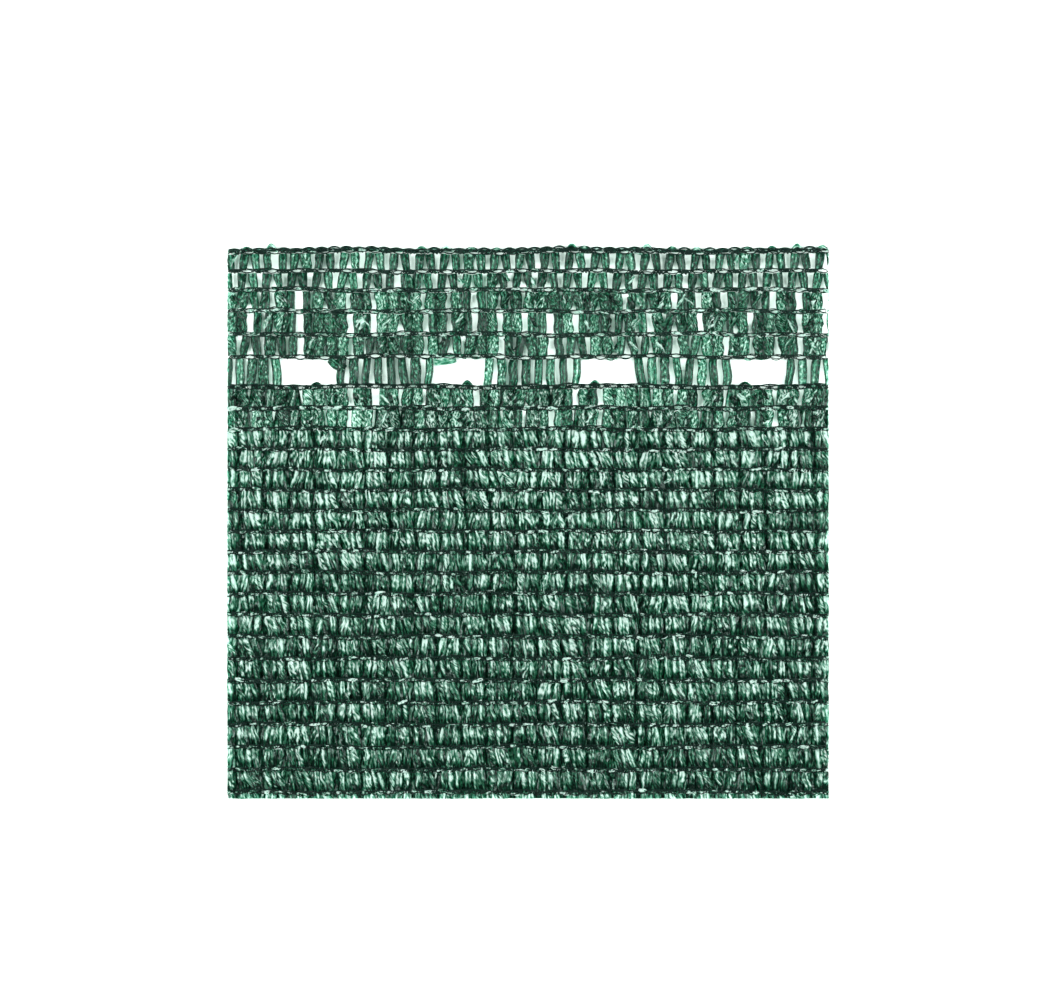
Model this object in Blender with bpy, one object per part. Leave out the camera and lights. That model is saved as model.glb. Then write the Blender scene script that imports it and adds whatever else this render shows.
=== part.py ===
"""A cut length of knitted privacy screen, lying flat with its face up.

+X runs along the chain rows, +Y towards the selvedge with the buttonholes, and +Z out
of the face. The origin is at the middle of the underside, and lengths are in metres.
"""

import math

import bmesh
import bpy

MM = 0.001

# The cut length
WIDTH = 120.0 * MM
LENGTH = 110.6 * MM
PIECE_GAP = 0.3 * MM

# The knit: a stitch along a chain row, and the steps from row to row
STITCH = 2.5 * MM
ROWS_ABOVE_HOLES = 6
ROWS_BELOW_HOLES = 20
UPPER_PITCH = 4.2 * MM
LOWER_PITCH = 4.26 * MM
HOLE_ROW_PITCH = 6.0 * MM
UPPER_DRIFT = 0.8 * MM
LOWER_DRIFT = 1.26 * MM
ROWS_BEFORE_DRIFT = 2

# The edges: how far the selvedge stands past the first row, and its stitches' bumps
SELVEDGE = 0.8 * MM
EDGE_BUMP = 0.6 * MM
BAND_ROWS_BELOW_HOLES = 2

# The section: the sheet between rows, and the chain rows raised on it
SHEET_THICK = 1.05 * MM
CHAIN_HEIGHT = 1.75 * MM
CHAIN_HALF = 0.75 * MM
THICK_UNEVEN = 0.16 * MM
ROW_WAVER = 0.22 * MM

# The buttonholes
HOLE_PITCH = 29.9 * MM
FIRST_HOLE_X = -43.8 * MM
HOLE_HEIGHT = 4.7 * MM
HOLE_DROP = 2.85 * MM
HOLE_RAGGED = 0.14 * MM
CUTTER_REACH = 2.0 * MM

# One line for each buttonhole, from the left: width, and the corner that a stray tape closes
HOLES = (
    {"width": 11.6 * MM, "corner": "right", "corner_wide": 1.8 * MM, "corner_high": 1.6 * MM},
    {"width": 10.6 * MM, "corner": "left", "corner_wide": 2.6 * MM, "corner_high": 1.1 * MM},
    {"width": 11.4 * MM, "corner": "left", "corner_wide": 0.5 * MM, "corner_high": 0.6 * MM},
    {"width": 11.2 * MM, "corner": "right", "corner_wide": 0.6 * MM, "corner_high": 0.5 * MM},
)

TAPE_GREEN = (0.035, 0.16, 0.075, 1.0)
TAPE_ROUGHNESS = 0.35


def clear_scene():
    for old in list(bpy.data.objects):
        bpy.data.objects.remove(old, do_unlink=True)


def uneven(*keys):
    """A fixed number from -1 to 1 for each set of whole numbers."""
    mixed = sum(key * step for key, step in zip(keys, (12.9898, 78.233, 37.719)))
    return 2.0 * ((math.sin(mixed) * 43758.5453) % 1.0) - 1.0


def row_y(row):
    """The height up the sheet of a chain row, counted from the selvedge."""
    y = LENGTH / 2 - EDGE_BUMP - SELVEDGE
    last_upper = ROWS_ABOVE_HOLES - 1
    if row <= last_upper:
        drift = UPPER_DRIFT * math.sin(math.pi * row / last_upper) ** 2
        return y - UPPER_PITCH * row + drift
    below = row - ROWS_ABOVE_HOLES
    y -= UPPER_PITCH * last_upper + HOLE_ROW_PITCH + LOWER_PITCH * below
    drifting = ROWS_BELOW_HOLES - 1 - ROWS_BEFORE_DRIFT
    turn = max(0.0, math.pi * (below - ROWS_BEFORE_DRIFT) / drifting)
    return y + LOWER_DRIFT * math.sin(turn)


def waver(x, row):
    """How far a chain row strays from its straight line at x."""
    long_wave = math.sin(2 * math.pi * x / 0.047 + 0.9 * row)
    short_wave = math.sin(2 * math.pi * x / 0.019 + 2.3 * row)
    return ROW_WAVER * (0.65 * long_wave + 0.35 * short_wave)


def tape_material():
    material = bpy.data.materials.new("green_tape")
    material.use_nodes = True
    shader = material.node_tree.nodes["Principled BSDF"]
    shader.inputs["Base Color"].default_value = TAPE_GREEN
    shader.inputs["Roughness"].default_value = TAPE_ROUGHNESS
    shader.inputs["Metallic"].default_value = 0.0
    return material


def stations(step):
    """Places across the sheet, from the left cut to the right cut."""
    count = round(WIDTH / step)
    return [WIDTH * k / count - WIDTH / 2 for k in range(count + 1)]


def row_lines(row, columns, sides):
    """The lines of points that raise one chain row: its upper side, crest and lower side."""
    lines = []
    for side in sides:
        line = []
        for k, x in enumerate(columns):
            height = SHEET_THICK if side else CHAIN_HEIGHT
            height += THICK_UNEVEN * uneven(row, k, side + 2)
            line.append((x, row_y(row) + waver(x, row) + side * CHAIN_HALF, height))
        lines.append(line)
    return lines


def straight_line(y, columns):
    """A line of points along a straight cut."""
    return [(x, y, SHEET_THICK) for x in columns]


def selvedge_line(columns):
    """The knitted edge: every second stitch stands up in a bump, some higher than others."""
    line = []
    for k, x in enumerate(columns):
        rise = min(1.0, 0.75 + 0.5 * uneven(k, 5)) if k % 2 else 0.1
        y = LENGTH / 2 - EDGE_BUMP * (1.0 - rise)
        line.append((x, y, SHEET_THICK))
    return line


def ribbed_sheet(name, lines, material):
    """A closed solid: the lines as its raised top, upright walls and a flat underside."""
    mesh = bmesh.new()
    top = [[mesh.verts.new(point) for point in line] for line in lines]
    for upper, lower in zip(top, top[1:]):
        for k in range(len(upper) - 1):
            mesh.faces.new((upper[k], lower[k], lower[k + 1], upper[k + 1]))
    left = [line[0] for line in top]
    right = [line[-1] for line in top]
    rim = left[:-1] + top[-1][:-1] + right[:0:-1] + top[0][:0:-1]
    foot = [mesh.verts.new((vert.co.x, vert.co.y, 0.0)) for vert in rim]
    for k in range(len(rim)):
        mesh.faces.new((rim[k - 1], foot[k - 1], foot[k], rim[k]))
    mesh.faces.new(foot[::-1])
    bmesh.ops.recalc_face_normals(mesh, faces=mesh.faces)
    data = bpy.data.meshes.new(name)
    mesh.to_mesh(data)
    mesh.free()
    data.materials.append(material)
    sheet = bpy.data.objects.new(name, data)
    bpy.context.scene.collection.objects.link(sheet)
    return sheet


def hole_outline(index, hole):
    """A buttonhole's outline: ragged at each stitch, with one upper corner closed by a tape."""
    centre_x = FIRST_HOLE_X + HOLE_PITCH * index
    centre_y = row_y(ROWS_ABOVE_HOLES - 1) - HOLE_DROP
    half_wide, half_high = hole["width"] / 2, HOLE_HEIGHT / 2
    steps = round(hole["width"] / STITCH)
    places = [hole["width"] * k / steps - half_wide for k in range(steps + 1)]
    toward = 1 if hole["corner"] == "right" else -1
    inner = half_wide - hole["corner_wide"]
    upper = [x for x in places[1:-1] if x * toward < inner - STITCH / 4]
    upper += [toward * inner, -toward * half_wide]
    lower = sorted(places)
    outline = [(x, -half_high + HOLE_RAGGED * uneven(index, k, 1)) for k, x in enumerate(lower)]
    if toward > 0:
        outline.append((half_wide, half_high - hole["corner_high"]))
    for k, x in enumerate(sorted(upper, reverse=True)):
        outline.append((x, half_high + HOLE_RAGGED * uneven(index, k, 2)))
    if toward < 0:
        outline.append((-half_wide, half_high - hole["corner_high"]))
    return [(centre_x + x, centre_y + y) for x, y in outline]


def hole_cutter(index, hole):
    """A prism that cuts one buttonhole right through."""
    name = f"buttonhole_cutter_{index + 1}"
    mesh = bmesh.new()
    base = [mesh.verts.new((x, y, -CUTTER_REACH)) for x, y in hole_outline(index, hole)]
    face = mesh.faces.new(base)
    risen = bmesh.ops.extrude_face_region(mesh, geom=[face])["geom"]
    lifted = [item for item in risen if isinstance(item, bmesh.types.BMVert)]
    bmesh.ops.translate(mesh, verts=lifted, vec=(0, 0, CHAIN_HEIGHT + 2 * CUTTER_REACH))
    bmesh.ops.recalc_face_normals(mesh, faces=mesh.faces)
    data = bpy.data.meshes.new(name)
    mesh.to_mesh(data)
    mesh.free()
    cutter = bpy.data.objects.new(name, data)
    cutter.hide_render = True
    cutter.display_type = "WIRE"
    bpy.context.scene.collection.objects.link(cutter)
    return cutter


def split_y():
    """Where the buttonhole band is parted from the rest, halfway between two chain rows."""
    last_of_band = ROWS_ABOVE_HOLES + BAND_ROWS_BELOW_HOLES - 1
    return (row_y(last_of_band) + row_y(last_of_band + 1)) / 2


def buttonhole_band(material):
    """The upper edge strip: the selvedge, eight chain rows and the buttonholes."""
    columns = stations(STITCH)
    lines = [selvedge_line(columns)] + row_lines(0, columns, (0, -1))
    for row in range(1, ROWS_ABOVE_HOLES + BAND_ROWS_BELOW_HOLES):
        lines += row_lines(row, columns, (1, 0, -1))
    lines.append(straight_line(split_y() + PIECE_GAP / 2, columns))
    band = ribbed_sheet("buttonhole_band", lines, material)
    for index, hole in enumerate(HOLES):
        cut = band.modifiers.new(f"buttonhole_{index + 1}", "BOOLEAN")
        cut.operation = "DIFFERENCE"
        cut.object = hole_cutter(index, hole)


def net_panel(material):
    """The close net below the band, down to its straight cut."""
    columns = stations(2 * STITCH)
    lines = [straight_line(split_y() - PIECE_GAP / 2, columns)]
    first = ROWS_ABOVE_HOLES + BAND_ROWS_BELOW_HOLES
    for row in range(first, ROWS_ABOVE_HOLES + ROWS_BELOW_HOLES):
        lines += row_lines(row, columns, (1, 0, -1))
    lines.append(straight_line(-LENGTH / 2, columns))
    ribbed_sheet("net_panel", lines, material)


def main():
    clear_scene()
    material = tape_material()
    buttonhole_band(material)
    net_panel(material)


main()
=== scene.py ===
# %% [markdown]
# A privacy screen is a knitted net. Thin dark threads are knitted into chains, one about
# every 4.2 mm, and flat glossy tapes are laid to and fro between the chains. Here a
# cut length lies flat with its face up: an open band with buttonholes along the knitted
# edge, and a close net below it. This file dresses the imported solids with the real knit,
# loop by loop and tape by tape. Everything is in metres, X runs along the chains, Y
# points to the knitted edge, and Z points out of the face.

# %% Load the frame
import math

import bpy
import numpy as np
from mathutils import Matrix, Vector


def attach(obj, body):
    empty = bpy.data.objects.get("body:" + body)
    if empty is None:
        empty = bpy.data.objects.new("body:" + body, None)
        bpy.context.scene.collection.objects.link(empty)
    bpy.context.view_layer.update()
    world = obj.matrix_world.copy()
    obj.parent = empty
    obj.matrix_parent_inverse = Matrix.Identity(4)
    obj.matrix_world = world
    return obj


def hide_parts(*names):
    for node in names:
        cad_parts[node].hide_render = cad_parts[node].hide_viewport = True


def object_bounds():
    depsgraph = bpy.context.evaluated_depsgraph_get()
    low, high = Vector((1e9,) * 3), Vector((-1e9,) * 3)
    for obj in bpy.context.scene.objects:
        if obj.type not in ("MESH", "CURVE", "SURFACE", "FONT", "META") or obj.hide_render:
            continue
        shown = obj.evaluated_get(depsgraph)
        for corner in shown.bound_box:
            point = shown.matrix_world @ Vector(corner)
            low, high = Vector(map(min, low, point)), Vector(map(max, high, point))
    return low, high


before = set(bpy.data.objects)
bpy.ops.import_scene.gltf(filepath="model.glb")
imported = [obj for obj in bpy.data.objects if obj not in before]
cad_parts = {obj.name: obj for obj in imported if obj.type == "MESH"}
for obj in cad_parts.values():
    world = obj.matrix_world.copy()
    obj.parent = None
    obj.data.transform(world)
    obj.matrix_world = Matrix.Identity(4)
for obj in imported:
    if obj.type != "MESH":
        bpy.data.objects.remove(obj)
CAD_BOX = [list(corner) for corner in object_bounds()]
LOW, HIGH = CAD_BOX
print("the solids reach from", LOW, "to", HIGH)

# %% [markdown]
# The knit has few sizes of its own: the length of a stitch along a chain, and the steps
# between chains. In the middle of the band, and in the middle of the close net, the
# chains stand a little higher than even steps would put them, which a sine gives without
# a long table. The row of buttonholes is taller than the others.

# %% Sizes of the knit
MM = 0.001
WIDTH = HIGH[0] - LOW[0]
STITCH = 2.5 * MM
PERIOD = 2 * STITCH
ROWS_ABOVE_HOLES = 6
ROWS_BELOW_HOLES = 20
ALL_ROWS = ROWS_ABOVE_HOLES + ROWS_BELOW_HOLES
BAND_ROWS = ROWS_ABOVE_HOLES + 2
UPPER_PITCH = 4.2 * MM
LOWER_PITCH = 4.26 * MM
HOLE_ROW_PITCH = 6.0 * MM
UPPER_DRIFT = 0.8 * MM
LOWER_DRIFT = 1.26 * MM
ROWS_BEFORE_DRIFT = 2
FIRST_ROW_BELOW_EDGE = 1.4 * MM
ROW_WAVER = 0.22 * MM


def row_y(row):
    """The height up the sheet of a chain, counted from the knitted edge."""
    y = HIGH[1] - FIRST_ROW_BELOW_EDGE
    last_upper = ROWS_ABOVE_HOLES - 1
    if row <= last_upper:
        drift = UPPER_DRIFT * math.sin(math.pi * max(row, 0) / last_upper) ** 2
        return y - UPPER_PITCH * row + drift
    below = row - ROWS_ABOVE_HOLES
    y -= UPPER_PITCH * last_upper + HOLE_ROW_PITCH + LOWER_PITCH * below
    drifting = ROWS_BELOW_HOLES - 1 - ROWS_BEFORE_DRIFT
    turn = max(0.0, math.pi * (below - ROWS_BEFORE_DRIFT) / drifting)
    return y + LOWER_DRIFT * math.sin(turn)


def waver(x, row):
    """How far a chain strays from its straight line at x."""
    long_wave = np.sin(2 * math.pi * x / 0.047 + 0.9 * row)
    short_wave = np.sin(2 * math.pi * x / 0.019 + 2.3 * row)
    return ROW_WAVER * (0.65 * long_wave + 0.35 * short_wave)


rng = np.random.default_rng(26)
row_slip = np.cumsum(rng.normal(0, 0.16 * MM, ALL_ROWS + 1))
row_slip -= np.linspace(row_slip[0], row_slip[-1], ALL_ROWS + 1)
print("chains:", ALL_ROWS, "first at", round(row_y(0), 4), "last at", round(row_y(ALL_ROWS - 1), 4))

# %% [markdown]
# The buttonholes are four slits where the tapes turn back instead of crossing. Each is
# given by its left and right end, in millimetres from the middle of the sheet.

# %% The buttonholes
HOLE_ENDS = ((-49.6, -38.0), (-19.2, -8.6), (10.3, 21.7), (40.3, 51.5))
HOLES = [(left * MM, right * MM) for left, right in HOLE_ENDS]
HOLE_ROW = ROWS_ABOVE_HOLES - 1
print("buttonholes:", len(HOLES))

# %% [markdown]
# A chain is one thread that runs forward, loops back and runs forward again, each loop
# drawn through the last. Along the chain the thread's place is the stitch count plus a
# sine, which makes it run forward 2.1 stitches and back 1.1. A cosine carries it from
# side to side, and one of twice the pace lifts its long sides over its turns. In the open
# rows every second stitch stands open as an eye, and the one between is drawn tight in a
# knot. Below the buttonholes each stitch has a small eye of its own, and the first chain
# there stands open all along. A second thread winds round the knots, thicker there than
# in the eyes. A curve with a round bevel turns each path into thread, as it would any
# cord.

# %% The chain threads
BAND_THREAD = 0.105 * MM
PANEL_THREAD = 0.095 * MM
POINTS_PER_STITCH = 12
LOOP_REACH = 0.8
EYE_HALF = 0.47 * MM
KNOT_HALF = 0.26 * MM
CHAIN_Z = 0.98 * MM
CHAIN_RISE = 0.34 * MM
EYE_X = 4.4 * MM
OPEN_BELOW_HOLES = 0.7
LOCK_RADIUS = 0.092 * MM
LOCK_HALF = 0.28 * MM
LOCK_SPREAD = 0.12 * MM
LOCK_RISE = 0.3 * MM
BAND_TURNS = 4
PANEL_TURNS = 3
POINTS_PER_TURN = 6
KNOT_SWELL = 1.5


def eye_step(row):
    """The distance from eye to eye: two stitches in the open rows and one in the close net."""
    return PERIOD if row <= HOLE_ROW else STITCH


def roundness(x, row):
    """A soft wave along a chain, 1 in the middle of an eye and 0 in the middle of a knot."""
    turn = 2 * np.pi * (x - LOW[0] - EYE_X - row_slip[row]) / eye_step(row)
    return 0.5 + 0.5 * np.cos(turn)


def openness(x, row):
    """How open a chain is at x: 1 in an eye and 0 everywhere else."""
    return roundness(x, row) ** (3 if row <= HOLE_ROW else 5)


def knot_swell(x, row, most):
    """The thread's thickness at x: 1 in an eye, and more in the middle of a knot."""
    return 1 + most * (1 - roundness(x, row)) ** 6


def path(x, y, z, thick):
    """A thread's points and thickness between the left cut and the right cut, as one table."""
    table = np.stack([x, y, z, thick], axis=1)
    return table[(x > LOW[0]) & (x < HIGH[0])]


def chain_points(row):
    """The path of one chain's thread, from the left cut to the right cut."""
    stitches = round(WIDTH / STITCH)
    first = LOW[0] + EYE_X - 1.5 * STITCH + row_slip[row]
    u = np.arange(-POINTS_PER_STITCH, (stitches + 1) * POINTS_PER_STITCH + 1) / POINTS_PER_STITCH
    whole = np.floor(u + 0.5).astype(int) + 1
    wide = rng.uniform(0.8, 1.2, stitches + 3)[whole]
    pull = rng.normal(0, 0.06, stitches + 3)[whole]
    lean = rng.normal(0, 0.13 * MM, stitches + 3)
    lean = np.interp(u, np.arange(stitches + 3) - 1, lean)
    x = STITCH * (u + (LOOP_REACH + pull) * np.sin(2 * np.pi * u)) + first
    open_share = openness(x, row) if row != HOLE_ROW + 1 else OPEN_BELOW_HOLES
    half = wide * (KNOT_HALF + (EYE_HALF - KNOT_HALF) * open_share)
    y = row_y(row) + waver(x, row) + lean + half * np.cos(2 * np.pi * u)
    z = CHAIN_Z + CHAIN_RISE * np.cos(4 * np.pi * u)
    return path(x, y, z, knot_swell(x, row, 0.5 * KNOT_SWELL))


def lock_points(row):
    """The second thread: it winds tightly round each knot and runs below each eye."""
    periods = round(WIDTH / eye_step(row)) + 2
    turns = BAND_TURNS if row <= HOLE_ROW else PANEL_TURNS
    step = turns * POINTS_PER_TURN
    v = np.arange(-step, periods * step + 1) / step
    jolt = np.interp(v, np.arange(-1, periods + 1), rng.normal(0, 0.05, periods + 2))
    wide = np.interp(v, np.arange(-1, periods + 1), rng.uniform(0.75, 1.45, periods + 2))
    wound = v - 0.9 * np.sin(2 * np.pi * v) / (2 * np.pi)
    turn = 2 * np.pi * turns * wound - np.pi / 2
    x = LOW[0] + EYE_X + row_slip[row] + eye_step(row) * (v - 1 + jolt * np.sin(np.pi * v) ** 2)
    half = wide * (LOCK_HALF + LOCK_SPREAD * openness(x, row))
    y = row_y(row) + waver(x, row) + half * np.sin(turn)
    z = CHAIN_Z + LOCK_RISE * np.cos(turn)
    return path(x, y, z, knot_swell(x, row, KNOT_SWELL))


def thread_piece(name, rows, thread_path, radius):
    """Rows of thread as one mesh, made from a bevelled curve."""
    curve = bpy.data.curves.new(name, "CURVE")
    curve.dimensions = "3D"
    curve.bevel_depth = radius
    curve.bevel_resolution = 1
    curve.use_fill_caps = True
    for row in rows:
        points = thread_path(row)
        spline = curve.splines.new("POLY")
        spline.points.add(len(points) - 1)
        spline.points.foreach_set("co", np.c_[points[:, :3], np.ones(len(points))].ravel())
        spline.points.foreach_set("radius", points[:, 3])
        spline.use_smooth = True
    piece = bpy.data.objects.new(name, curve)
    bpy.context.scene.collection.objects.link(piece)
    bpy.ops.object.select_all(action="DESELECT")
    piece.select_set(True)
    bpy.context.view_layer.objects.active = piece
    bpy.ops.object.convert(target="MESH")
    print(name, "faces:", len(piece.data.polygons))
    return piece


# %% [markdown]
# Along the knitted edge a thicker strand stands up in a low arch at each stitch, so that
# the edge is scalloped. A thin strand runs to and fro between it and the first chain, and
# leaves a slit below each arch. At some stitches a cap of tape stands up over the edge,
# counted from the left cut, with its height in millimetres.

# %% The scalloped edge
EDGE_FOOT = 0.42 * MM
ARCH_HIGH = 0.42 * MM
EDGE_RADIUS = 0.18 * MM
THIN_SHARE = 0.55
CAPS = {1: 0.55, 3: 1.0, 15: 0.65, 17: 0.65, 19: 0.5, 21: 0.4, 27: 0.95, 28: 0.35, 33: 0.95,
        35: 0.6, 37: 0.55, 41: 0.4, 43: 0.55, 45: 0.95, 47: 0.55}


def edge_points(strand):
    """The path of one strand of the knitted edge: 0 is the thick one with the arches."""
    stitches = round(WIDTH / STITCH)
    u = np.arange(0, stitches * POINTS_PER_STITCH + 1) / POINTS_PER_STITCH
    high = rng.uniform(0.4, 1.3, stitches + 1)[np.floor(u).astype(int)]
    x = LOW[0] + STITCH * u + rng.normal(0, 0.02 * MM, len(u))
    y = row_y(0) + waver(x, 0)
    if strand == 0:
        y += EDGE_FOOT + ARCH_HIGH * high * np.abs(np.sin(np.pi * u)) ** 0.8
        z = CHAIN_Z - 0.1 * MM + 0.15 * MM * np.cos(2 * np.pi * u)
        return path(x, y, z, 1 + 0.2 * np.cos(2 * np.pi * u + np.pi))
    x += 0.25 * STITCH * np.sin(4 * np.pi * u)
    y += 0.06 * MM + 0.5 * EDGE_FOOT * (1 + high * np.cos(2 * np.pi * u))
    z = CHAIN_Z + 0.1 * MM + 0.2 * MM * np.cos(2 * np.pi * u)
    return path(x, y, z, np.full(len(u), THIN_SHARE))


BAND, PANEL = range(BAND_ROWS), range(BAND_ROWS, ALL_ROWS)
edge_threads = thread_piece("edge_threads", range(2), edge_points, EDGE_RADIUS)
band_chains = thread_piece("band_chain_threads", BAND, chain_points, BAND_THREAD)
band_locks = thread_piece("band_lock_threads", BAND, lock_points, LOCK_RADIUS)
panel_chains = thread_piece("panel_chain_threads", PANEL, chain_points, PANEL_THREAD)
panel_locks = thread_piece("panel_lock_threads", PANEL, lock_points, LOCK_RADIUS)

# %% [markdown]
# A tape is a strip of thin film, about 2 mm wide, that gathers into pleats where a chain
# grips it. One strip is added as a grid and read as two numbers for each point: how far
# across it lies, and how far along. Every length of tape in the net is then that same
# strip, laid along its own short run.

# %% The one strip
ACROSS = 10
ALONG = 6
bpy.ops.object.select_all(action="DESELECT")
bpy.ops.mesh.primitive_grid_add(x_subdivisions=ACROSS, y_subdivisions=ALONG, size=2)
strip = bpy.context.object
corners = np.array([vert.co[:] for vert in strip.data.vertices])
STRIP_ACROSS = corners[:, 0]
STRIP_ALONG = (1 - corners[:, 1]) / 2
STRIP_FACES = np.array([face.vertices[:] for face in strip.data.polygons])
bpy.data.objects.remove(strip, do_unlink=True)
print("one strip has", len(corners), "points and", len(STRIP_FACES), "faces")

# %% [markdown]
# A run of tape goes from one point to another. It is narrow at its ends, where the loops
# hold it, and wide in the middle, it arches a little off the sheet, and its pleats, twist
# and wrinkles differ from run to run. The numbers of all runs are put in arrays, so
# thousands of strips are worked out together and joined as one mesh. Two attributes go
# with it for the material. Shade is the run's own tone with painted light added: painted
# highlights on the crests of pleats, painted shade in their hollows, and painted shade
# along the edges, where the film rolls over double. Crush tells crumpled film from flat. A
# run's slant turns the creases of its film, grain makes them finer, and dusk is painted
# shade on its lower end, which lies in the shade of the next chain.

# %% Laying strips
CREST_SHADE = 0.5
EDGE_SHADE = 1.4
LOWEST_Z = 0.03 * MM
FILM_SPREAD = 1.3


def run(start, end, half=0.8, neck=0.5, taper=0.0, lift=0.35, pleats=1.5, fold=0.1,
        twist=(0, 0), sway=0.0, arch=0.0, curl=0.2, crumple=0.04, shade=0.5, crush=0.0,
        slant=0.0, dusk=0.0, grain=1.0):
    """One run of tape. Its two ends are in metres, and its other sizes in millimetres."""
    return {"start": start, "end": end, "half": half * MM, "neck": neck, "taper": taper,
            "lift": lift * MM, "pleats": pleats, "fold": fold * MM, "twist": twist,
            "sway": sway * MM, "arch": arch * MM, "curl": curl * MM, "crumple": crumple * MM,
            "shade": shade, "crush": crush, "slant": slant, "dusk": dusk, "grain": grain}


def wrinkles(count, waves, low, high):
    """Soft random ridges over each of the strips, about 1 high."""
    total = np.zeros((count, len(STRIP_ACROSS)))
    for _ in range(waves):
        over = rng.uniform(-high, high, (count, 1))
        down = rng.uniform(-low, low, (count, 1))
        phase = rng.uniform(0, 2 * np.pi, (count, 1))
        total += np.sin(np.pi * (over * STRIP_ACROSS + down * 2 * STRIP_ALONG) + phase)
    return total / math.sqrt(waves)


def add_attribute(mesh, name, values):
    """A number for each point of the mesh, which the material reads by name."""
    mesh.attributes.new(name, "FLOAT", "POINT").data.foreach_set("value", values.ravel())


def tape_piece(name, runs):
    """All the runs of tape as one mesh, with a map along each tape and its attributes."""
    def column(key):
        """One number of every run, as a column."""
        return np.array([one[key] for one in runs], float)[:, None]

    s, t = STRIP_ACROSS[None], STRIP_ALONG[None]
    start = np.array([one["start"] for one in runs])[:, None]
    end = np.array([one["end"] for one in runs])[:, None]
    twist = np.array([one["twist"] for one in runs])
    bow = np.sin(np.pi * t)
    ahead = (end - start)[:, 0, :2]
    length = np.linalg.norm(ahead, axis=1)[:, None]
    side = np.stack([-ahead[:, 1], ahead[:, 0]], axis=1) / length
    sideways, upward = side[:, :1], side[:, 1:]
    side *= np.where(np.abs(sideways) > np.abs(upward), np.sign(sideways), np.sign(upward))
    half = column("half") * (column("neck") + (1 - column("neck")) * bow ** 0.6)
    half *= 1 + column("taper") * (0.5 - t)
    turn = twist[:, :1] * (1 - t) + twist[:, 1:] * t + 0.2 * wrinkles(len(runs), 2, 1.0, 0.0)
    phase = rng.uniform(0, 2 * np.pi, (len(runs), 1))
    crest = np.sin(np.pi * column("pleats") * s + phase + 1.2 * t)
    crumple = column("crumple")
    out = half * s + 0.8 * crumple * wrinkles(len(runs), 3, 2.0, 1.5)
    up = column("fold") * (0.6 + 0.5 * bow) * crest + column("curl") * (0.4 - s ** 2)
    up += crumple * wrinkles(len(runs), 4, 2.6, 2.2)
    over = out * np.cos(turn) - up * np.sin(turn)
    over += column("sway") * np.sin(2 * np.pi * t) + column("arch") * bow
    rise = out * np.sin(turn) + up * np.cos(turn) + column("lift") * bow
    place = start + (end - start) * STRIP_ALONG[None, :, None]
    place[..., :2] += side[:, None] * over[..., None]
    place[..., 2] = np.maximum(place[..., 2] + rise, LOWEST_Z)
    mesh = bpy.data.meshes.new(name)
    first = (np.arange(len(runs)) * len(STRIP_ACROSS))[:, None, None]
    faces = (STRIP_FACES[None] + first).reshape(-1, STRIP_FACES.shape[1])
    mesh.from_pydata(place.reshape(-1, 3).tolist(), [], faces.tolist())
    film = FILM_SPREAD * column("half") * s + MM * rng.uniform(0, 40, (len(runs), 1))
    gone = length * t + MM * rng.uniform(0, 40, (len(runs), 1))
    film += column("slant") * length * t
    spread = np.stack([film, gone], axis=-1).reshape(-1, 2) / MM
    spread *= np.repeat(column("grain"), len(STRIP_ACROSS), axis=0)
    mesh.uv_layers.new(name="tape").data.foreach_set("uv", spread[faces.ravel()].ravel())
    # Painted light: shade rises on the crests of pleats, falls in their hollows and along the edges, and
    # falls at the lower end by dusk.
    crest_shade = CREST_SHADE * (1.3 - column("crush")) * crest
    shade = column("shade") + crest_shade - EDGE_SHADE * s ** 4
    add_attribute(mesh, "shade", shade - column("dusk") * np.clip(2.5 * t - 1.3, 0, 1))
    add_attribute(mesh, "crush", np.broadcast_to(column("crush"), crest.shape))
    mesh.polygons.foreach_set("use_smooth", np.ones(len(faces), bool))
    piece = bpy.data.objects.new(name, mesh)
    bpy.context.scene.collection.objects.link(piece)
    print(name, "runs:", len(runs), "triangles:", 2 * len(faces))
    return piece


# %% [markdown]
# In the open band each tape stands as a row of peaks: two legs meet under a loop of the
# upper chain and spread to the lower chain, so that a narrow triangle and a narrow
# rectangle are left open in turn. Some legs crumple and close their gap, and in the ragged
# rows loose bits of tape lie slanting on them.

# %% Runs between two chains
GRIP_Z = 0.72 * MM
BELOW_CHAIN = 0.4 * MM
ABOVE_CHAIN = 0.3 * MM


def point_on(row, x, z, past=0.0):
    """A point at x on a chain's line, moved up the sheet by past."""
    return (x, row_y(row) + float(waver(x, row)) + past, z)


def peaks_in_gap(row):
    """The x of each peak between a chain and the next one down, under the eyes."""
    count = round(WIDTH / PERIOD)
    return [LOW[0] + EYE_X - PERIOD + PERIOD * k + row_slip[row] for k in range(count + 2)]


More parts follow.
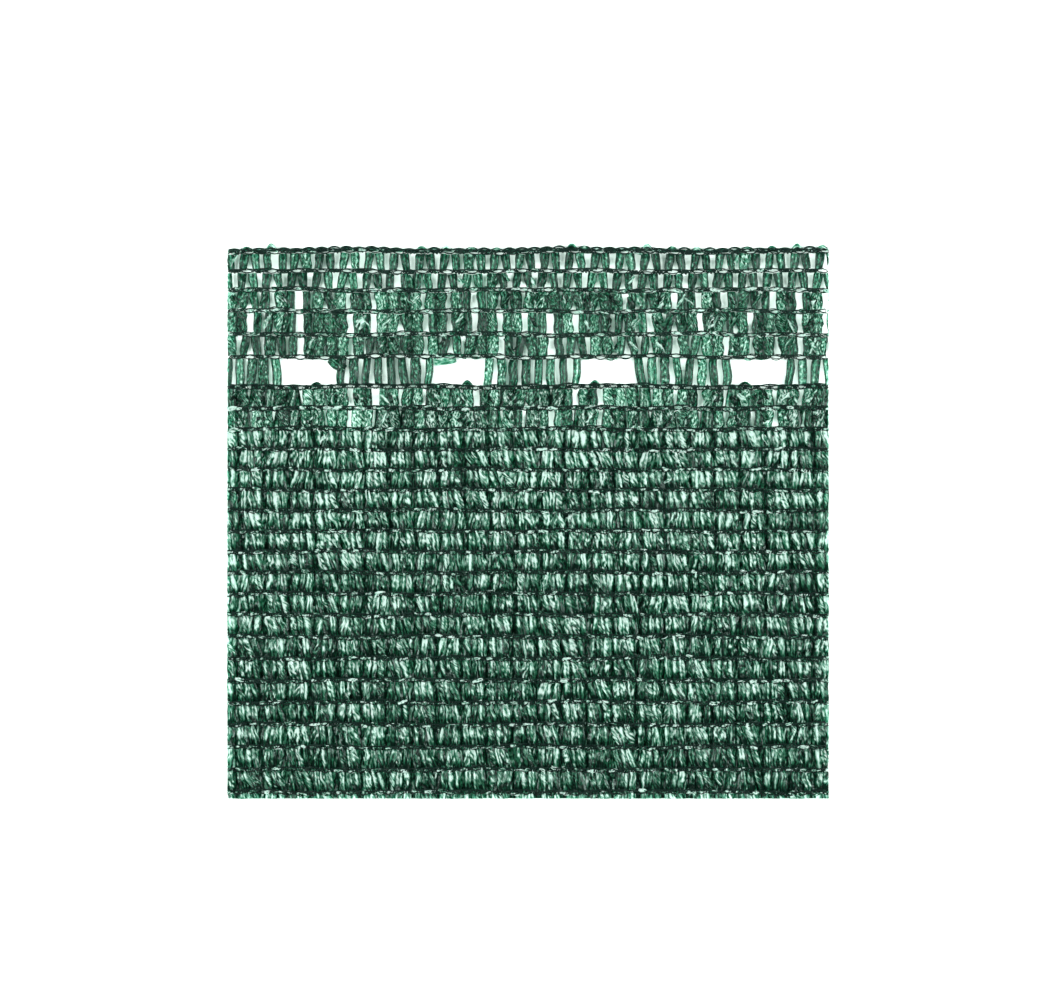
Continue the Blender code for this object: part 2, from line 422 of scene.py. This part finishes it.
def open_legs(row, ragged, pale=0.0):
    """The two legs of each peak. More are crumpled where ragged is high, up to 1."""
    runs = []
    for peak in peaks_in_gap(row):
        apart = rng.random() < 0.8 * ragged
        for toward in (-1, 1):
            top = peak + toward * (rng.normal(0.92, 0.06) + 0.6 * apart) * MM
            foot = peak + toward * (rng.normal(1.36, 0.06 + 0.1 * ragged) + 0.2 * apart) * MM
            crushed = rng.random() < 0.07 + 0.7 * ragged
            runs.append(run(
                point_on(row, top, GRIP_Z, -BELOW_CHAIN),
                point_on(row + 1, foot, GRIP_Z, ABOVE_CHAIN),
                half=rng.uniform(0.84, 0.94) + 0.3 * crushed, neck=rng.uniform(0.85, 0.98),
                taper=0.25 * (not apart), lift=rng.uniform(0.05, 0.3), pleats=rng.uniform(1.4, 3.0),
                fold=rng.uniform(0.05, 0.12), twist=tuple(rng.normal(0, 0.2, 2)),
                sway=rng.normal(0, 0.05 + 0.06 * ragged),
                crumple=rng.uniform(0.02, 0.04) + 0.11 * crushed,
                shade=rng.uniform(-0.5, 0.4) + 0.3 * crushed + pale, crush=0.12 + 0.7 * crushed,
                slant=rng.normal(-0.05, 0.12 + 0.25 * crushed), grain=1.6))
        for _ in range(rng.poisson(2.0 * ragged)):
            runs.append(stray_flap(row, peak + rng.uniform(1.3, 3.7) * MM))
    return runs


def stray_flap(row, x):
    """A loose crumpled bit of tape that lies slanting on the legs."""
    tilt = rng.choice((-1, 1)) * rng.uniform(0.1, 1.0) * MM
    up, down = rng.uniform(-1.7, -0.4, 2) * MM
    return run(
        point_on(row, x - tilt, GRIP_Z + 0.2 * MM, up),
        point_on(row + 1, x + tilt, GRIP_Z + 0.2 * MM, -down),
        half=rng.uniform(0.3, 0.65), neck=0.4, lift=0.25, pleats=rng.uniform(1, 2),
        fold=0.14, twist=tuple(rng.normal(0, 0.4, 2)), crumple=0.17,
        shade=rng.uniform(-0.5, 1.5), crush=0.5, slant=rng.normal(0, 0.4))


# %% [markdown]
# In the close net a second tape lies behind the first with its peaks half a period
# along, flat and wide, so that no gap stays open. It is given a lower shade than the front
# tape: painted shade for the tape that lies behind. The front tape is gathered tighter there,
# mostly leaning one way, and its pleats catch the light as slanting streaks, partly real
# glints and partly painted highlights. Between two of its groups the darker tape behind
# shows as a narrow column.

# %% Runs of the close net
BACK_Z = 0.38 * MM
BACK_PAST = 0.3 * MM
GROUP_PLACES = (-1.5, -0.15, 1.2)


def back_legs(row, cover):
    """The wide tapes behind, lying low. cover is the share of the legs that are there."""
    runs = []
    for peak in peaks_in_gap(row):
        for toward in (-1, 1):
            if rng.random() > cover:
                continue
            top = peak + PERIOD / 2 + toward * rng.normal(0.8, 0.12) * MM
            foot = peak + PERIOD / 2 + toward * rng.normal(1.45, 0.12) * MM
            # A low shade: painted shade on the tape that lies behind.
            runs.append(run(
                point_on(row, top, BACK_Z, BACK_PAST),
                point_on(row + 1, foot, BACK_Z, -BACK_PAST),
                half=rng.uniform(1.45, 1.6), neck=0.97, lift=rng.uniform(-0.1, 0.05),
                pleats=rng.uniform(2, 3.6), fold=rng.uniform(0.05, 0.1), curl=0.1,
                twist=tuple(rng.normal(0, 0.08, 2)), crumple=0.04, shade=rng.uniform(0.0, 0.9)))
    return runs


def close_legs(row):
    """The gathered tapes in front: a group of three for each period, leaning together."""
    runs = []
    depth = (row - BAND_ROWS) / (ALL_ROWS - BAND_ROWS)
    for peak in peaks_in_gap(row):
        tilt = rng.normal(0.24, 0.24)
        for place in GROUP_PLACES:
            top = peak + (0.9 * place - tilt + rng.normal(0, 0.12)) * MM
            foot = peak + (1.1 * place + tilt + rng.normal(0, 0.14)) * MM
            crushed = rng.random() < 0.3
            runs.append(run(
                point_on(row, top, GRIP_Z + rng.uniform(0, 0.4) * MM, rng.uniform(-0.2, 0.25) * MM),
                point_on(row + 1, foot, GRIP_Z + rng.uniform(0, 0.4) * MM, rng.uniform(-0.25, 0.2) * MM),
                half=rng.uniform(0.65, 0.9), neck=rng.uniform(0.6, 0.9),
                lift=rng.uniform(0.1, 0.45), pleats=rng.uniform(1.0, 2.2),
                fold=rng.uniform(0.1, 0.2), twist=tuple(rng.normal(0, 0.35, 2)),
                sway=rng.normal(0, 0.12), crumple=rng.uniform(0.04, 0.07) + 0.05 * crushed,
                shade=rng.uniform(0.55, 1.65) - 0.35 * depth, crush=0.35 + 0.5 * crushed,
                slant=rng.normal(-0.3, 0.3), dusk=rng.uniform(0.7, 1.9)))
        if rng.random() < 0.3 - depth:
            runs.append(stray_flap(row, peak + rng.uniform(-2.5, 2.5) * MM))
    return runs


def core(row, x, half_long, shade):
    """A bit of tape drawn along a chain, crumpled under its loops."""
    return run(
        point_on(row, x - half_long, rng.uniform(0.8, 1.4) * MM, rng.normal(0, 0.2) * MM),
        point_on(row, x + half_long, rng.uniform(0.8, 1.4) * MM, rng.normal(0, 0.2) * MM),
        half=rng.uniform(0.25, 0.45), neck=0.7, lift=rng.uniform(0, 0.25), pleats=1.5,
        fold=0.08, curl=0.15, crumple=0.06, shade=shade, crush=1.0, grain=1.8)


def knot_cores(row, share):
    """Bits of tape in a share of a chain's knots, which leave its eyes open."""
    return [core(row, peak + PERIOD / 2, rng.uniform(0.6, 1.0) * MM, rng.uniform(-0.9, 1.4))
            for peak in peaks_in_gap(row) if rng.random() < share]


def full_cores(row):
    """Bits of tape all along a chain of the close net."""
    places = LOW[0] + STITCH * np.arange(round(WIDTH / STITCH) + 1) + row_slip[row]
    places += rng.normal(0, 0.2 * MM, len(places))
    # Many of these bits are pale, so they show as specks between the loops: partly pale film, partly
    # painted highlights of the loops.
    return [core(row, x, rng.uniform(0.5, 1.1) * MM, rng.uniform(-0.2, 2.0)) for x in places]


# %% [markdown]
# The first two gaps of the band are neat, and the next three are ragged. A list tells how
# ragged each gap is, from 0 to 1. Along the two neat chains only the knots have tape
# drawn into them, so their eyes stand open. The other chains have it all along.

# %% Lay the band
RAGGED = (0.08, 0.05, 0.9, 0.85, 0.6)
NEAT_CHAINS = 2
KNOT_SHARE = 0.7
band_runs = []
for row, ragged in enumerate(RAGGED):
    band_runs += open_legs(row, ragged)
    band_runs += knot_cores(row, KNOT_SHARE) if row < NEAT_CHAINS else full_cores(row)
print("open rows laid:", len(band_runs), "runs")

# %% [markdown]
# Between the buttonholes the tapes cross a taller gap, one leg for each stitch, as wide
# slightly bent ladders. The leg at the left end of each hole bulges into it. The next two
# gaps lie between the open band and the close net: the front tapes are crumpled there,
# and only some of the tapes behind are laid.

# %% The buttonhole row and the rows below it
LEG_MARGIN = 0.75 * MM


def ladder_places():
    """The x of each leg that crosses the buttonhole row, between the holes and the cuts."""
    edges = [LOW[0] - LEG_MARGIN] + [x for hole in HOLES for x in hole] + [HIGH[0] + LEG_MARGIN]
    places = []
    for left, right in zip(edges[::2], edges[1::2]):
        count = round((right - left - 2 * LEG_MARGIN) / STITCH) + 1
        places += list(np.linspace(left + LEG_MARGIN, right - LEG_MARGIN, count))
    return places


for x in ladder_places():
    at_hole = any(abs(x + LEG_MARGIN - left) < 0.1 * MM for left, right in HOLES)
    bend = rng.normal(0, 0.16) * MM
    crushed = rng.random() < 0.3
    band_runs.append(run(
        point_on(HOLE_ROW, x + bend, GRIP_Z, -0.25 * MM),
        point_on(HOLE_ROW + 1, x - bend, GRIP_Z, ABOVE_CHAIN),
        half=rng.uniform(0.78, 1.0) + 0.15 * crushed, neck=rng.uniform(0.85, 0.98),
        lift=rng.uniform(0.05, 0.3), pleats=rng.uniform(1.4, 3.0),
        fold=rng.uniform(0.06, 0.14), twist=tuple(rng.normal(0, 0.2, 2)),
        sway=rng.normal(0, 0.07), arch=rng.normal(0, 0.12) + 0.2 * at_hole,
        crumple=rng.uniform(0.03, 0.06) + 0.06 * crushed,
        shade=rng.uniform(-0.4, 0.5) + 0.2 * crushed, crush=0.2 + 0.6 * crushed, grain=1.5))

band_runs += open_legs(HOLE_ROW + 1, ragged=0.9, pale=0.3) + back_legs(HOLE_ROW + 1, cover=0.3)
band_runs += knot_cores(HOLE_ROW, share=0.9) + full_cores(HOLE_ROW + 2)
print("with the ladders and the row below:", len(band_runs), "runs")

# %% [markdown]
# Small marks of this very piece: a crumpled tape that closes a corner of the first hole,
# a folded tab at the second, bumps of tape that stand up from the chain below the
# holes, pale turns that hang from the chain above them, a few pale leaves of tape over
# the two chains where the band meets the close net, and the rolled tape along the knitted
# edge. A bump is given by its start, end and height in millimetres, and a leaf by its
# chain, its place and its tilt. Each bump is two strips, so that it is filled.

# %% Tabs, bumps and turns
BUMPS = ((-43.6, -40.9, 0.8), (-13.4, -10.9, 1.2), (12.2, 14.5, 1.1), (41.8, 44.8, 1.0))
LEAVES = ((7, -59.0, 0.3), (7, -38.0, 0.4), (7, -33.6, -0.3), (8, -58.8, 0.1))
LEAF_Z = 1.35 * MM
TAB_Z = 0.9 * MM
TURN_Z = 0.7 * MM
BUMP_STRIPS = (0.45, 1.0)

for left, right, high in BUMPS:
    for part in BUMP_STRIPS:
        band_runs.append(run(
            point_on(HOLE_ROW + 1, left * MM, GRIP_Z), point_on(HOLE_ROW + 1, right * MM, GRIP_Z),
            half=0.28, neck=0.8, lift=0.2, arch=high * part, crumple=0.05, shade=0.0, crush=0.6))

band_runs.append(run(
    point_on(HOLE_ROW, -39.6 * MM, TAB_Z, -0.2 * MM),
    point_on(HOLE_ROW, -36.6 * MM, TAB_Z, -2.4 * MM),
    half=1.1, neck=0.8, lift=0.1, pleats=2.2, crumple=0.12, shade=0.1, crush=1.0))
band_runs.append(run(
    point_on(HOLE_ROW, -18.7 * MM, TAB_Z, -1.0 * MM),
    point_on(HOLE_ROW, -14.4 * MM, TAB_Z, -0.4 * MM),
    half=1.05, neck=0.75, lift=0.2, pleats=1.6, fold=0.1, curl=0.15, crumple=0.06, shade=0.9,
    crush=0.3))

for row, x, tilt in LEAVES:
    band_runs.append(run(
        point_on(row, (x - 1.0) * MM, LEAF_Z, -tilt * MM),
        point_on(row, (x + 1.0) * MM, LEAF_Z, tilt * MM),
        half=0.5, neck=0.35, lift=0.1, pleats=1.0, fold=0.1, crumple=0.12, shade=1.5, crush=0.6))

for left, right in HOLES:
    for x in np.arange(left + STITCH / 2, right, STITCH):
        if rng.random() < 0.55:
            band_runs.append(run(
                point_on(HOLE_ROW, x - 1.0 * MM, TURN_Z, -0.15 * MM),
                point_on(HOLE_ROW, x + 1.0 * MM, TURN_Z, -0.15 * MM),
                half=0.3, neck=0.5, lift=0.1, arch=-rng.uniform(0.15, 0.4),
                crumple=0.04, shade=rng.uniform(0.2, 1.1)))

for stitch in range(round(WIDTH / STITCH)):
    x = LOW[0] + STITCH * (stitch + 0.5)
    band_runs.append(run(
        point_on(0, x - 1.2 * MM, 0.8 * MM, 0.2 * MM),
        point_on(0, x + 1.2 * MM, 0.8 * MM, 0.2 * MM),
        half=0.34, neck=0.7, lift=0.05, arch=rng.uniform(0.05, 0.2),
        crumple=0.05, shade=rng.uniform(-0.6, 1.8), crush=0.5))
    if stitch in CAPS:
        band_runs.append(run(
            point_on(0, x - 1.1 * MM, 0.9 * MM, 0.3 * MM),
            point_on(0, x + 1.1 * MM, 0.9 * MM, 0.3 * MM),
            half=0.36, neck=0.6, lift=0.3, arch=CAPS[stitch], crumple=0.06,
            shade=rng.uniform(0.2, 1.4), crush=0.6))
band_tapes = tape_piece("band_tapes", band_runs)

# %% [markdown]
# The close net is laid in three pieces: the tapes in front, the tapes behind, and the
# bits of tape that are drawn into its chains. The first gap of the net, right below the
# band, still has open legs.

# %% Lay the close net
front_runs, back_runs, core_runs = [], [], []
for row in range(BAND_ROWS - 1, ALL_ROWS):
    if row == BAND_ROWS - 1:
        front_runs += open_legs(row, ragged=0.9, pale=0.4)
        back_runs += back_legs(row, cover=0.5)
    else:
        front_runs += close_legs(row)
        back_runs += back_legs(row, cover=1.0)
for row in PANEL:
    core_runs += full_cores(row)
panel_front = tape_piece("panel_front_tapes", front_runs)
panel_back = tape_piece("panel_back_tapes", back_runs)
panel_core = tape_piece("panel_core_tapes", core_runs)

# %% [markdown]
# The left, right and lower edges are straight cuts. A bisect at each of those planes
# takes off what hangs over, as the cutter's blade does.

# %% Trim to the cut
CUTS = (((LOW[0], 0, 0), (-1, 0, 0)),
        ((HIGH[0], 0, 0), (1, 0, 0)),
        ((0, LOW[1], 0), (0, -1, 0)))


def trim(piece):
    """Cut a piece off at the left, right and lower edges."""
    bpy.ops.object.select_all(action="DESELECT")
    bpy.context.view_layer.objects.active = piece
    piece.select_set(True)
    bpy.ops.object.mode_set(mode="EDIT")
    for place, outward in CUTS:
        bpy.ops.mesh.select_all(action="SELECT")
        bpy.ops.mesh.bisect(plane_co=place, plane_no=outward, clear_outer=True)
    bpy.ops.object.mode_set(mode="OBJECT")
    print(piece.name, "after the cut:", len(piece.data.polygons), "faces")


TAPES = (band_tapes, panel_front, panel_back, panel_core)
for piece in TAPES:
    trim(piece)

# %% [markdown]
# A material is a small tree of shader nodes. Three helpers keep the trees short: one adds
# a node, one turns a number into a colour, and one lays a noise over a map.

# %% Helpers for the finishes
def node(tree, kind, **settings):
    """A new shader node with some of its settings."""
    made = tree.nodes.new(kind)
    for key, value in settings.items():
        setattr(made, key, value)
    return made


def ramp(tree, factor, stops):
    """A colour ramp with the given (place, colour) stops."""
    made = node(tree, "ShaderNodeValToRGB")
    elements = made.color_ramp.elements
    while len(elements) < len(stops):
        elements.new(0.5)
    for element, (place, colour) in zip(elements, stops):
        element.position = place
        element.color = colour
    tree.links.new(factor, made.inputs["Fac"])
    return made.outputs["Color"]


def noise_on(tree, vector, scale, stretch, detail=2.0, contrast=1.0):
    """Noise on a map. stretch tells how fine it is across and along, contrast how sharp."""
    mapping = node(tree, "ShaderNodeMapping")
    mapping.inputs["Scale"].default_value = stretch
    noise = node(tree, "ShaderNodeTexNoise")
    noise.inputs["Scale"].default_value = scale
    noise.inputs["Detail"].default_value = detail
    tree.links.new(vector, mapping.inputs["Vector"])
    tree.links.new(mapping.outputs["Vector"], noise.inputs["Vector"])
    sharper = node(tree, "ShaderNodeMath", operation="MULTIPLY_ADD")
    sharper.inputs[1].default_value = contrast
    sharper.inputs[2].default_value = 0.5 - 0.5 * contrast
    tree.links.new(noise.outputs["Fac"], sharper.inputs[0])
    return sharper.outputs[0]


# %% [markdown]
# The film is green polyethylene: glossy, slightly see-through, and creased. Two noises read
# the map that runs along each tape: streaks drawn out lengthwise where the film is flat, and
# a sharper crackle where it is crushed. They raise the creases as bumps. The shade of the
# run is added to them, and one ramp turns the sum into colour: dark green and green, and at
# its top a pale mint, so each tape shows bright and dark streaks and specks that are painted
# highlights and painted shade, beside the real glints of the gloss. Some light passes
# through, which a translucent shader beside the glossy one gives, coloured by the same
# pattern. The tapes behind have the same film with shallower creases and less gloss.

# %% The tape's film
SHADE_WEIGHT = 0.22
SEE_THROUGH = 0.56
CREASE_STRENGTH = 0.7
STREAK_STRETCH = (1.9, 0.9, 1.0)
CRACKLE_STRETCH = (1.7, 0.9, 1.0)
# Its pale mint top paints highlights on the film, and its near black bottom paints shade.
FILM_GREENS_AND_PAINTED_GLINTS = (
    (0.40, (0.003, 0.013, 0.009, 1)), (0.53, (0.008, 0.034, 0.023, 1)),
    (0.63, (0.018, 0.082, 0.047, 1)), (0.70, (0.065, 0.2, 0.13, 1)),
    (0.76, (0.37, 0.51, 0.46, 1)), (0.86, (0.78, 0.9, 0.86, 1)))
GLOW_COLOURS = (
    (0.42, (0.004, 0.04, 0.022, 1)), (0.52, (0.026, 0.25, 0.13, 1)),
    (0.63, (0.14, 0.55, 0.38, 1)), (0.85, (0.62, 0.92, 0.82, 1)))


def film_material(name, relief, gloss):
    """The film, with the height of its creases in millimetres and its specular level."""
    film = bpy.data.materials.new(name)
    film.use_nodes = True
    tree = film.node_tree
    link = tree.links.new
    shader = tree.nodes["Principled BSDF"]
    along = node(tree, "ShaderNodeUVMap", uv_map="tape").outputs["UV"]
    streaks = noise_on(tree, along, 1.0, STREAK_STRETCH, detail=3.0, contrast=1.25)
    crackle = noise_on(tree, along, 1.0, CRACKLE_STRETCH, detail=2.0, contrast=1.9)
    crush = node(tree, "ShaderNodeAttribute", attribute_name="crush").outputs["Fac"]
    crease = node(tree, "ShaderNodeMix")
    link(crush, crease.inputs["Factor"])
    link(streaks, crease.inputs["A"])
    link(crackle, crease.inputs["B"])
    shade = node(tree, "ShaderNodeAttribute", attribute_name="shade").outputs["Fac"]
    # Shade and crease together carry the painted highlights and painted shade into the colour.
    both = node(tree, "ShaderNodeMath", operation="MULTIPLY_ADD")
    link(shade, both.inputs[0])
    both.inputs[1].default_value = SHADE_WEIGHT
    link(crease.outputs["Result"], both.inputs[2])
    link(ramp(tree, both.outputs[0], FILM_GREENS_AND_PAINTED_GLINTS), shader.inputs["Base Color"])
    rough = node(tree, "ShaderNodeMapRange")
    link(streaks, rough.inputs["Value"])
    rough.inputs["To Min"].default_value = 0.07
    rough.inputs["To Max"].default_value = 0.15
    link(rough.outputs["Result"], shader.inputs["Roughness"])
    shader.inputs["Specular IOR Level"].default_value = gloss
    shader.inputs["Specular Tint"].default_value = (0.8, 1.0, 0.93, 1)
    bump = node(tree, "ShaderNodeBump")
    bump.inputs["Strength"].default_value = CREASE_STRENGTH
    bump.inputs["Distance"].default_value = relief * MM
    link(crease.outputs["Result"], bump.inputs["Height"])
    link(bump.outputs["Normal"], shader.inputs["Normal"])
    glow = node(tree, "ShaderNodeBsdfTranslucent")
    link(bump.outputs["Normal"], glow.inputs["Normal"])
    link(ramp(tree, both.outputs[0], GLOW_COLOURS), glow.inputs["Color"])
    mix = node(tree, "ShaderNodeMixShader")
    mix.inputs["Fac"].default_value = SEE_THROUGH
    link(shader.outputs["BSDF"], mix.inputs[1])
    link(glow.outputs["BSDF"], mix.inputs[2])
    link(mix.outputs["Shader"], tree.nodes["Material Output"].inputs["Surface"])
    return film


# %% [markdown]
# The thread is a round filament, nearly black with a green cast, in places rubbed grey.
# It is smooth, so each loop has a thin light line along its top.

# %% The chain's thread
PATCHES_PER_METRE = 900.0
THREAD_COLOURS = (
    (0.35, (0.001, 0.005, 0.004, 1)), (0.6, (0.003, 0.012, 0.009, 1)),
    (0.75, (0.014, 0.02, 0.017, 1)))


def thread_material():
    """The dark filament, with small rubbed patches."""
    thread = bpy.data.materials.new("dark thread")
    thread.use_nodes = True
    tree = thread.node_tree
    shader = tree.nodes["Principled BSDF"]
    place = node(tree, "ShaderNodeTexCoord").outputs["Object"]
    patches = noise_on(tree, place, PATCHES_PER_METRE, (1.0, 1.0, 1.0))
    tree.links.new(ramp(tree, patches, THREAD_COLOURS), shader.inputs["Base Color"])
    rough = node(tree, "ShaderNodeMapRange")
    tree.links.new(patches, rough.inputs["Value"])
    rough.inputs["To Min"].default_value = 0.25
    rough.inputs["To Max"].default_value = 0.5
    tree.links.new(rough.outputs["Result"], shader.inputs["Roughness"])
    shader.inputs["Specular IOR Level"].default_value = 0.14
    shader.inputs["Specular Tint"].default_value = (0.7, 1.0, 0.88, 1)
    return thread


film = film_material("green film tape", 0.2, 0.42)
shaded_film = film_material("shaded film tape", 0.1, 0.35)
thread = thread_material()
for piece in TAPES:
    piece.data.materials.append(shaded_film if piece == panel_back else film)
for piece in (edge_threads, band_chains, band_locks, panel_chains, panel_locks):
    piece.data.materials.clear()
    piece.data.materials.append(thread)
print("finishes:", film.name, "|", shaded_film.name, "|", thread.name)

# %% [markdown]
# Everything is one limp cloth, so every piece rides on the one body, and the knit takes
# the place of both solids.

# %% Join the knit to the frame
for piece in (edge_threads, band_chains, band_locks, band_tapes):
    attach(piece, "root")
    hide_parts("buttonhole_band")
for piece in (panel_chains, panel_locks, panel_front, panel_back, panel_core):
    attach(piece, "root")
    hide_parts("net_panel")

# %% [markdown]
# The cloth lies on a round sheet of white paper, under a sky that is white all round the
# horizon, so paper and sky meet without a line. The paper and the lamps have a faint mint
# cast. Open paper is bright enough to look plain white, and only the paper in the gaps of
# the cloth, where less light falls, looks mint.

# %% Floor
FLOOR_RADIUS = 0.42
PAPER = (0.88, 0.95, 0.92, 1)
bpy.ops.object.select_all(action="DESELECT")
bpy.ops.mesh.primitive_circle_add(vertices=96, radius=FLOOR_RADIUS, fill_type="NGON", location=(0, 0, 0))
floor = bpy.context.object
floor.name = "floor"
paper = bpy.data.materials.new("white paper")
paper.use_nodes = True
paper.node_tree.nodes["Principled BSDF"].inputs["Base Color"].default_value = PAPER
paper.node_tree.nodes["Principled BSDF"].inputs["Roughness"].default_value = 0.9
floor.data.materials.append(paper)
print("paper:", 2 * FLOOR_RADIUS, "m across")

# %% [markdown]

# %% [markdown]
# The sky gives a soft light from low down, where it is white, and is dark overhead, so
# that the shiny tapes keep their deep greens. A ramp on the height of each direction
# makes it.

# %% Sky
SKY_COLOURS = ((0.0, (1, 1, 1, 1)), (0.14, (1, 1, 1, 1)), (0.34, (0.05, 0.05, 0.05, 1)))
world = bpy.data.worlds.new("pale room")
bpy.context.scene.world = world
world.use_nodes = True
sky = world.node_tree
direction = node(sky, "ShaderNodeTexCoord").outputs["Generated"]
parts = node(sky, "ShaderNodeSeparateXYZ")
sky.links.new(direction, parts.inputs["Vector"])
sky.links.new(ramp(sky, parts.outputs["Z"], SKY_COLOURS), sky.nodes["Background"].inputs["Color"])
print("sky:", world.name)

# %% [markdown]
# Two softboxes at the sides light the legs of the tapes, and two weaker ones at the far
# and near ends light the gaps. They are small, so the glints are sharp and the darks stay
# dark.

# %% Softboxes
LAMP_TINT = (0.91, 1.0, 0.96)
SIDE_BOX = (0.22, 0.42)
END_BOX = (0.45, 0.16)
SIDE_POWER = 7.1
FAR_POWER = 2.4
NEAR_POWER = 2.0


def softbox(name, place, size, power):
    """An area light at place that faces the cloth's middle."""
    light = bpy.data.lights.new(name, "AREA")
    light.shape = "RECTANGLE"
    light.size, light.size_y = size
    light.energy = power
    light.color = LAMP_TINT
    lamp = bpy.data.objects.new(name, light)
    lamp.location = place
    back = np.array(place) / np.linalg.norm(place)
    lamp.rotation_euler = (math.acos(back[2]), 0, math.atan2(back[0], -back[1]))
    bpy.context.scene.collection.objects.link(lamp)


softbox("left softbox", (-0.5, 0.05, 0.5), SIDE_BOX, SIDE_POWER)
softbox("right softbox", (0.5, 0.05, 0.5), SIDE_BOX, SIDE_POWER)
softbox("far softbox", (0.0, 0.6, 0.45), END_BOX, FAR_POWER)
softbox("near softbox", (0.0, -0.6, 0.5), END_BOX, NEAR_POWER)
print("softboxes:", len(bpy.data.lights))

# %% [markdown]
# The camera looks straight down at the cloth, from as far as its long lens needs to take
# in the whole frame. The view transform is plain, so that white paper stays white.

# %% Camera
FRAME_WIDE = 211.2 * MM
VIEW_Y = 4.3 * MM
LENS = 100.0
SENSOR = 36.0
camera = bpy.data.cameras.new("camera")
camera.lens = LENS
camera.sensor_width = SENSOR
eye = bpy.data.objects.new("camera", camera)
eye.location = (0, VIEW_Y, FRAME_WIDE * LENS / SENSOR)
bpy.context.scene.collection.objects.link(eye)
bpy.context.scene.camera = eye
bpy.context.scene.view_settings.view_transform = "Standard"
print("camera:", round(eye.location.z, 3), "m above the cloth")
